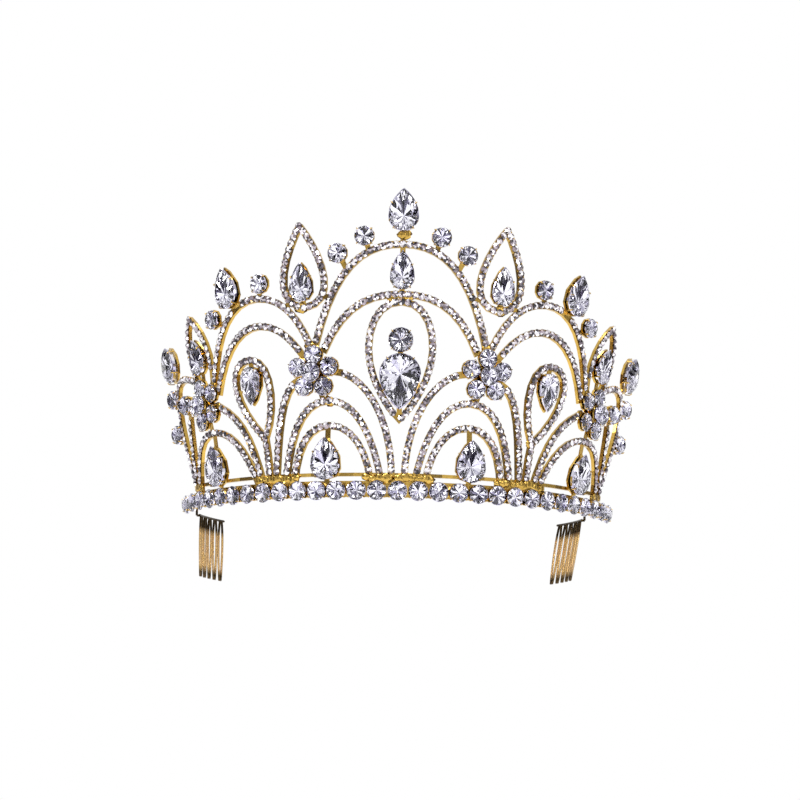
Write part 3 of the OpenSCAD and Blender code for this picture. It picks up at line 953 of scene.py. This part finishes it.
class CROWN_OT_main_stones(bpy.types.Operator):
    """Cuts the pear and round stones and grips each with claws"""
    bl_idname = "crown.main_stones"
    bl_label = "Main Stones"

    def execute(self, context):
        draw = random.Random(11)
        claws = []
        for name, copies, size, place, lean, turn in STONES:
            mains = WIDE_MAINS if size[0] > WIDE_STONE else MAINS
            angles = ROUND_CLAWS if size[0] == size[1] else PEAR_CLAWS
            for ending, side in copies:
                matrix = seated(place, side, lean, turn)
                stone = Shape()
                cut_stone(stone, matrix, size, draw, mains=mains, gloom=DARKER.get(name, 1.0))
                piece = cut_piece(stone, name + ending + "_cut")
                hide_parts(name + ending)
                claws.extend(claw_paths(matrix, size, angles))
        run_claws("stone_claws", "claw_wire", claws, LARGE_CLAW)
        return {"FINISHED"}


class CROWN_OT_rim(bpy.types.Operator):
    """Cuts the row of round stones along the rim, each gripped by four claws"""
    bl_idname = "crown.rim"
    bl_label = "Rim Stones"

    def execute(self, context):
        draw = random.Random(23)
        height = RIM_STONE_LIFT + RIM_STONE_D / 2
        girdle_radius = face_radius(height) + SEAT_GAP + PAVILION_SHARE * RIM_STONE_D
        pitch = math.degrees((RIM_STONE_D + RIM_STONE_GAP) / girdle_radius)
        each_side = math.floor(HALF_ARC / pitch)
        stones, claws = Shape(), []
        for i in range(-each_side, each_side + 1):
            matrix = seated((i * pitch, height), 1)
            cut_stone(stones, matrix, RIM_ROUND, draw, THIN_EDGE)
            claws.extend(claw_paths(matrix, RIM_ROUND, RIM_CLAWS))
        piece = cut_piece(stones, "rim_stones")
        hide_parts("rim_row")
        run_claws("rim_claws", "rim_claw_wire", claws, SMALL_CLAW)
        return {"FINISHED"}


class CROWN_OT_flowers(bpy.types.Operator):
    """Cuts the five petal stones and the raised middle stone of each flower"""
    bl_idname = "crown.flowers"
    bl_label = "Flowers"

    def execute(self, context):
        draw = random.Random(5)
        claws = []
        for name, place, petal_turn in FLOWERS:
            for ending, side in SIDES:
                base = seated(place, side)
                stones = Shape()
                for i in range(PETALS):
                    petal = (
                        base
                        @ Matrix.Rotation(math.radians(-side * (petal_turn + i * 360 / PETALS)), 4, "Z")
                        @ Matrix.Translation((0, PETAL_RING, 0)))
                    cut_stone(stones, petal, PETAL_ROUND, draw, THIN_EDGE)
                    claws.extend(claw_paths(petal, PETAL_ROUND, PETAL_CLAWS))
                middle = base @ Matrix.Translation((0, 0, FLOWER_LIFT))
                cut_stone(stones, middle, FLOWER_ROUND, draw, THIN_EDGE)
                piece = cut_piece(stones, name + ending + "_cut")
                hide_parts(name + ending)
        run_claws("flower_claws", "flower_claw_wire", claws, SMALL_CLAW)
        return {"FINISHED"}


def comb_heading(i):
    return COMB_TURN + COMB_CURL * (i / (COMB_TEETH - 1) - 0.5)


def comb_way(i):
    """The way that the comb's bar runs at tooth i."""
    heading = comb_heading(i)
    return Vector((-sind(heading), cosd(heading), 0))


def comb_bar_places():
    """Places of the teeth along the comb's bar."""
    places = [Vector((0, 0, 0))]
    for i in range(1, COMB_TEETH):
        places.append(places[-1] + COMB_PITCH * comb_way(i - 0.5))
    return places


def tooth_loop():
    """The loop of one tooth, flat: down a leg that widens and narrows again, and up its mirror image."""
    steps = 12
    reach = COMB_DROP - COMB_WIRE * 0.3
    leg = [
        (COMB_LEG_W / 2, 0), (COMB_LOOP_W * 0.8, -reach * 0.3),
        (COMB_LOOP_W * 0.4, -reach * 0.8), (COMB_TIP_W / 2, -reach)]
    down = [bezier(leg, i / steps) for i in range(steps + 1)]
    return down + [(-x, z) for x, z in reversed(down)]


class CROWN_OT_combs(bpy.types.Operator):
    """Bends the looped wire teeth of both combs and hangs them from the rail"""
    bl_idname = "crown.combs"
    bl_label = "Combs"

    def execute(self, context):
        hang = face_radius(RAIL_LOW) - RAIL_SET - RAIL_DEPTH - COMB_GAP - COMB_WIRE / 2
        level = -BAR_HEIGHT / 2
        post_top = COMB_TOP - 0.2
        loop = tooth_loop()
        tree = wire_tree("comb_wire_run")
        values = {
            "Wire radius": COMB_WIRE / 2 * MM, "Wire sides": COMB_SIDES, "Metal": materials()["comb"]}
        for node, side, angle, lean in COMBS:
            hung = Matrix.Scale(-1, 4, (1, 0, 0)) if side < 0 else Matrix.Identity(4)
            hung = hung @ Matrix.Rotation(math.radians(angle), 4, "Z") @ Matrix.Translation((0, -hang, 0))
            bar = (
                hung @ Matrix.Translation((0, COMB_INSET, 0))
                @ Matrix.Rotation(math.radians(-angle), 4, "Z"))
            places = comb_bar_places()
            first = places[0] - comb_way(0) * COMB_PITCH / 2
            last = places[-1] + comb_way(COMB_TEETH - 1) * COMB_PITCH / 2
            paths = [[bar @ (p + Vector((0, 0, level))) for p in [first] + places + [last]]]
            for i, place in enumerate(places):
                tooth = (
                    bar @ Matrix.Translation(place)
                    @ Matrix.Rotation(math.radians(90 + comb_heading(i)), 4, "Z")
                    @ Matrix.Translation((0, 0, level))
                    @ Matrix.Rotation(math.radians(lean), 4, "X"))
                paths.append([tooth @ Vector((x, 0, z)) for x, z in loop])
            paths.append([hung @ Vector((0, 0, level)), hung @ Vector((0, 0, post_top))])
            paths.append([hung @ Vector((0, 0, level)), hung @ Vector((0, COMB_INSET, level))])
            vertices, edges = joined(paths)
            piece = run_tree(node + "_wire", vertices, edges, tree, values)
            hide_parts(node)
        return {"FINISHED"}


def solder_drop(width, draw):
    """Corners and faces of a drop of solder: an uneven dome, with a point below that sinks into the metal."""
    rings, sides = 4, 10
    wide = width / 2 * draw.uniform(*DROP_WIDTH)
    thick = draw.uniform(*DROP_HEIGHT)
    vertices = [(0, 0, thick - STRAND_SET)]
    for r in range(1, rings + 1):
        spread = math.sin(math.pi / 2 * r / rings)
        rise = thick * math.cos(math.pi / 2 * r / rings) - STRAND_SET
        for i in range(sides):
            angle = 360 * i / sides
            reach = wide * spread * draw.uniform(*DROP_RIM)
            vertices.append((reach * cosd(angle), reach * sind(angle) * DROP_FLATNESS, rise))
    bottom = len(vertices)
    vertices.append((0, 0, -DROP_SINK - STRAND_SET))
    faces = [[0, 1 + i, 1 + (i + 1) % sides] for i in range(sides)]
    for r in range(rings - 1):
        a, b = 1 + r * sides, 1 + (r + 1) * sides
        faces += [[a + i, b + i, b + (i + 1) % sides, a + (i + 1) % sides] for i in range(sides)]
    outer = 1 + (rings - 1) * sides
    faces += [[bottom, outer + (i + 1) % sides, outer + i] for i in range(sides)]
    return vertices, faces


class CROWN_OT_solder(bpy.types.Operator):
    """Puts drops of solder at the feet of the strands and at the joints"""
    bl_idname = "crown.solder"
    bl_label = "Solder"

    def execute(self, context):
        draw = random.Random(3)
        width = context.scene.crown_metal.solder_d
        foot_height = RIM_STONE_TOP + FOOT_LIFT
        drops = Shape()
        places = []
        for row in SIDE_ROUTES:
            for end in (row[0], row[-1]):
                if end[1] == 0:
                    places += [(HALF_ARC * (end[0] + slip) / 100, foot_height) for slip in FOOT_SLIPS]
        places += SOLDERED
        for angle, height in places:
            for side in (-1, 1):
                place = (angle + draw.uniform(*DROP_TURN), height + draw.uniform(*DROP_LIFT))
                vertices, faces = solder_drop(width, draw)
                drops.add(seated(place, side), vertices, faces, [0] * len(faces), [1.0] * len(faces))
        drops.finish("solder_drops", [materials()["gold"]], "gold_plate", smooth=True)
        return {"FINISHED"}


def plain_surface(name, vertices, faces, hex_colour, roughness):
    """A stage surface of painted board: matt, with a faint grain about 10 mm wide."""
    mesh = bpy.data.meshes.new(name)
    mesh.from_pydata(vertices, [], faces)
    material, tree, shader = new_material(name)
    uneven_roughness(tree, shader, 100.0, 2.0, roughness * 0.95, roughness)
    set_shader(shader, Base_Color=colour(linear(hex_colour)))
    mesh.materials.append(material)
    surface = bpy.data.objects.new(name, mesh)
    bpy.context.scene.collection.objects.link(surface)
    return surface


def softbox(name, place, size, power):
    light = bpy.data.lights.new(name, "AREA")
    light.shape = "RECTANGLE"
    light.size, light.size_y = size
    light.energy = power
    lamp = bpy.data.objects.new(name, light)
    lamp.location = place
    lamp.rotation_euler = (Vector(LIT_PLACE) - Vector(place)).to_track_quat("-Z", "Y").to_euler()
    bpy.context.scene.collection.objects.link(lamp)


def place_camera(scene):
    """Looks at the crown from a little below its rim, with the photo's roll and framing."""
    elevation, roll = math.radians(CAMERA_ELEVATION), math.radians(CAMERA_ROLL)
    forward = Vector((0, math.cos(elevation), -math.sin(elevation)))
    right = Vector((1, 0, 0))
    up = Vector((0, math.sin(elevation), math.cos(elevation)))
    across = right * math.cos(roll) + up * math.sin(roll)
    above = up * math.cos(roll) - right * math.sin(roll)
    camera = bpy.data.objects.new("camera", bpy.data.cameras.new("camera"))
    turned = Matrix((across, above, -forward)).transposed().to_4x4()
    camera.matrix_world = Matrix.Translation(Vector(CAMERA_AIM) - forward * CAMERA_DISTANCE) @ turned
    camera.data.sensor_width = CAMERA_SENSOR
    camera.data.lens = CAMERA_LENS
    camera.data.shift_y = CAMERA_SHIFT
    camera.data.clip_start = 0.01
    scene.collection.objects.link(camera)
    scene.camera = camera


class CROWN_OT_stage(bpy.types.Operator):
    """Sets up the pale floor, the soft light, the dark cards that the stones mirror, and the camera"""
    bl_idname = "crown.stage"
    bl_label = "Stage"

    def execute(self, context):
        scene = context.scene
        low = -scene.crown_stage.floor_drop
        reach = FLOOR_REACH
        corners = [(-reach, -reach, low), (reach, -reach, low), (reach, reach, low), (-reach, reach, low)]
        plain_surface("floor", corners, [[0, 1, 2, 3]], "#F4F4F4", 0.8)
        # Dark cards round the front, out of the camera's sight, for the facets and the gold to mirror
        for number, (azimuth, width, bottom, top) in enumerate(DARK_CARDS):
            half = width / 2
            corners = []
            for angle, height in ((-half, bottom), (half, bottom), (half, top), (-half, top)):
                turn = azimuth + angle
                corners.append((CARD_DISTANCE * sind(turn), -CARD_DISTANCE * cosd(turn), height))
            card = plain_surface("dark_card_%d" % number, corners, [[0, 1, 2, 3]], "#504C59", 0.7)
            card.visible_camera = False
            card.visible_shadow = False
        for name, place, size, power in LIGHTS:
            softbox(name, place, size, power)
        world = bpy.data.worlds.new("white_surroundings")
        world.use_nodes = True
        surroundings = world.node_tree.nodes["Background"]
        surroundings.inputs["Color"].default_value = (1, 1, 1, 1)
        surroundings.inputs["Strength"].default_value = scene.crown_stage.daylight
        scene.world = world
        scene.view_settings.view_transform = "Standard"
        place_camera(scene)
        return {"FINISHED"}


class CROWN_PT_panel(bpy.types.Panel):
    """Lists the pieces of the crown and their settings"""
    bl_label = "Pageant Crown"
    bl_idname = "CROWN_PT_panel"
    bl_space_type = "VIEW_3D"
    bl_region_type = "UI"
    bl_category = "Crown"

    def draw(self, context):
        layout = self.layout
        for operator in OPERATORS:
            layout.operator(operator.bl_idname)
        for settings in (context.scene.crown_stones, context.scene.crown_metal, context.scene.crown_stage):
            for name in settings.__annotations__:
                layout.prop(settings, name)


SETTINGS = [
    ("crown_stones", CrownStoneSettings),
    ("crown_metal", CrownMetalSettings),
    ("crown_stage", CrownStageSettings),
]
OPERATORS = [
    CROWN_OT_stage, CROWN_OT_frame, CROWN_OT_fine_stones, CROWN_OT_main_stones, CROWN_OT_rim,
    CROWN_OT_flowers, CROWN_OT_combs, CROWN_OT_solder,
]


def register():
    for name, settings in SETTINGS:
        bpy.utils.register_class(settings)
        setattr(bpy.types.Scene, name, bpy.props.PointerProperty(type=settings))
    for operator in OPERATORS:
        bpy.utils.register_class(operator)
    bpy.utils.register_class(CROWN_PT_panel)


def unregister():
    bpy.utils.unregister_class(CROWN_PT_panel)
    for operator in reversed(OPERATORS):
        bpy.utils.unregister_class(operator)
    for name, settings in reversed(SETTINGS):
        delattr(bpy.types.Scene, name)
        bpy.utils.unregister_class(settings)


def main():
    register()
    bpy.ops.crown.stage()
    bpy.ops.crown.frame()
    bpy.ops.crown.fine_stones()
    bpy.ops.crown.main_stones()
    bpy.ops.crown.rim()
    bpy.ops.crown.flowers()
    bpy.ops.crown.combs()
    bpy.ops.crown.solder()


if __name__ == "__main__":
    main()
